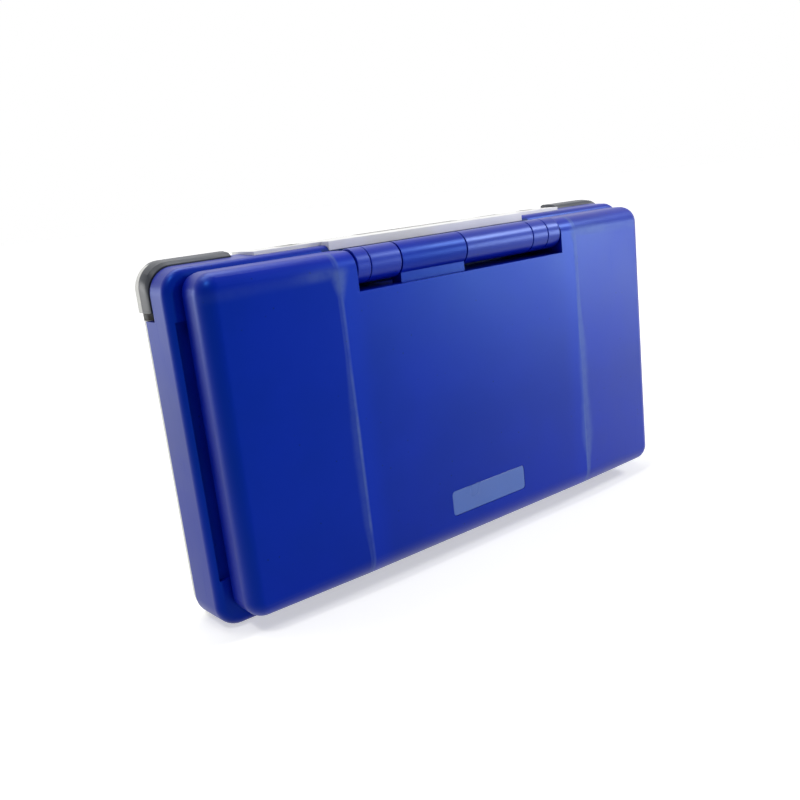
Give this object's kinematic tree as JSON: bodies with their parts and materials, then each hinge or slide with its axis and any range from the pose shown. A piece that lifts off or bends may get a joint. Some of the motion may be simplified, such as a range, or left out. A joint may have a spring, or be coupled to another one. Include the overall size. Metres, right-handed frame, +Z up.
{
  "type": "clamshell handheld game console",
  "caption": "Folding two-screen handheld game console with a faceted lid on a rear friction hinge, shoulder buttons, a card slot and a stylus.",
  "frame": {"origin": "middle of the bottom of the bounding box, where the closed console stands on its long front edge", "axes": "+X to the console's right with the lid facing the viewer, -Y out of the lid's outer face, +Z up, towards the hinge edge"},
  "size_m": [0.1498, 0.0288, 0.0847],
  "materials": {
    "blue_gloss": "pearl blue, glossy",
    "badge_blue": "paler blue, glossy",
    "inner_silver": "satin silver grey",
    "pale_plastic": "satin off-white",
    "foot_pad": "matte pale rubber",
    "smoke_plastic": "smoky grey, glossy",
    "button_grey": "satin grey",
    "steel": "bright",
    "dark_rubber": "matte",
    "black_plastic": "satin black",
    "battery_wrap": "satin",
    "circuit_board": "solder mask",
    "lamp_lens": "translucent",
    "screen_glass": "clear"
  },
  "bodies": {
    "base": {"upper_housing": "blue_gloss", "face_plate": "inner_silver", "bottom_cover": "pale_plastic", "battery_cover": "pale_plastic", "battery_screw": "steel", "battery": "battery_wrap", "main_board": "circuit_board", "wireless_module": "steel", "lower_lcd": "black_plastic", "touch_panel": "screen_glass", "card_cage": "steel", "cart_cage": "steel", "hinge_barrel_left": "blue_gloss", "hinge_barrel_right": "blue_gloss", "hinge_cap_left": "blue_gloss", "hinge_cap_right": "blue_gloss", "friction_hinge": "steel", "ribbon_bush": "black_plastic", "pad_mat": "dark_rubber", "button_mat": "dark_rubber", "menu_mat": "dark_rubber", "power_mat": "dark_rubber", "lamp_windows": "lamp_lens", "microphone": "black_plastic", "headphone_jack": "black_plastic", "power_connector": "black_plastic", "strap_pin": "steel", "shoulder_pins": "steel", "foot_pads": "foot_pad", "housing_screws": "steel"},
    "lid": {"lid_cover": "blue_gloss", "lid_badge": "badge_blue", "lid_inner": "inner_silver", "upper_lcd": "black_plastic", "upper_window": "screen_glass", "speaker_left": "black_plastic", "speaker_right": "black_plastic", "lid_screws": "steel", "lid_bumpers": "dark_rubber"},
    "direction_pad": {"direction_pad": "button_grey"},
    "button_a": {"button_a": "button_grey"},
    "button_b": {"button_b": "button_grey"},
    "button_x": {"button_x": "button_grey"},
    "button_y": {"button_y": "button_grey"},
    "button_start": {"button_start": "button_grey"},
    "button_select": {"button_select": "button_grey"},
    "button_power": {"button_power": "button_grey"},
    "shoulder_left": {"shoulder_left": "smoke_plastic"},
    "shoulder_right": {"shoulder_right": "smoke_plastic"},
    "volume_slider": {"volume_slider": "black_plastic"},
    "stylus": {"stylus": "black_plastic"},
    "dust_cover": {"dust_cover": "pale_plastic"}
  },
  "joints": [
    {"name": "lid_hinge", "type": "hinge", "parent": "base", "child": "lid", "pos_m": [0, -0.01035, 0.0782], "axis": [-1, 0, 0], "range_deg": [0, 165]},
    {"name": "button_a_press", "type": "slide", "parent": "base", "child": "button_a", "axis": [0, 1, 0], "range_m": [0, 0.0006], "stiffness_N_per_m": 400},
    {"name": "button_b_press", "type": "slide", "parent": "base", "child": "button_b", "axis": [0, 1, 0], "range_m": [0, 0.0006], "stiffness_N_per_m": 400},
    {"name": "button_x_press", "type": "slide", "parent": "base", "child": "button_x", "axis": [0, 1, 0], "range_m": [0, 0.0006], "stiffness_N_per_m": 400},
    {"name": "button_y_press", "type": "slide", "parent": "base", "child": "button_y", "axis": [0, 1, 0], "range_m": [0, 0.0006], "stiffness_N_per_m": 400},
    {"name": "button_start_press", "type": "slide", "parent": "base", "child": "button_start", "axis": [0, 1, 0], "range_m": [0, 0.0006], "stiffness_N_per_m": 300},
    {"name": "button_select_press", "type": "slide", "parent": "base", "child": "button_select", "axis": [0, 1, 0], "range_m": [0, 0.0006], "stiffness_N_per_m": 300},
    {"name": "button_power_press", "type": "slide", "parent": "base", "child": "button_power", "axis": [0, 1, 0], "range_m": [0, 0.0006], "stiffness_N_per_m": 300},
    {"name": "direction_pad_rock", "type": "hinge", "parent": "base", "child": "direction_pad", "pos_m": [-0.05122, 0.0029, 0.04205], "axis": [1, 0, 0], "range_deg": [-2.5, 2.5], "stiffness_Nm_per_rad": 0.12},
    {"name": "shoulder_left_press", "type": "hinge", "parent": "base", "child": "shoulder_left", "pos_m": [-0.05635, 0.00845, 0.0798], "axis": [0, -1, 0], "range_deg": [0, 4], "stiffness_Nm_per_rad": 0.15},
    {"name": "shoulder_right_press", "type": "hinge", "parent": "base", "child": "shoulder_right", "pos_m": [0.05635, 0.00845, 0.0798], "axis": [0, 1, 0], "range_deg": [0, 4], "stiffness_Nm_per_rad": 0.15},
    {"name": "volume_slide", "type": "slide", "parent": "base", "child": "volume_slider", "axis": [1, 0, 0], "range_m": [-0.004, 0.004]},
    {"name": "stylus_slide", "type": "slide", "parent": "base", "child": "stylus", "axis": [0, 0, 1], "range_m": [0, 0.0735]},
    {"name": "dust_cover_slide", "type": "slide", "parent": "base", "child": "dust_cover", "axis": [0, 0, -1], "range_m": [0, 0.0155]}
  ]
}
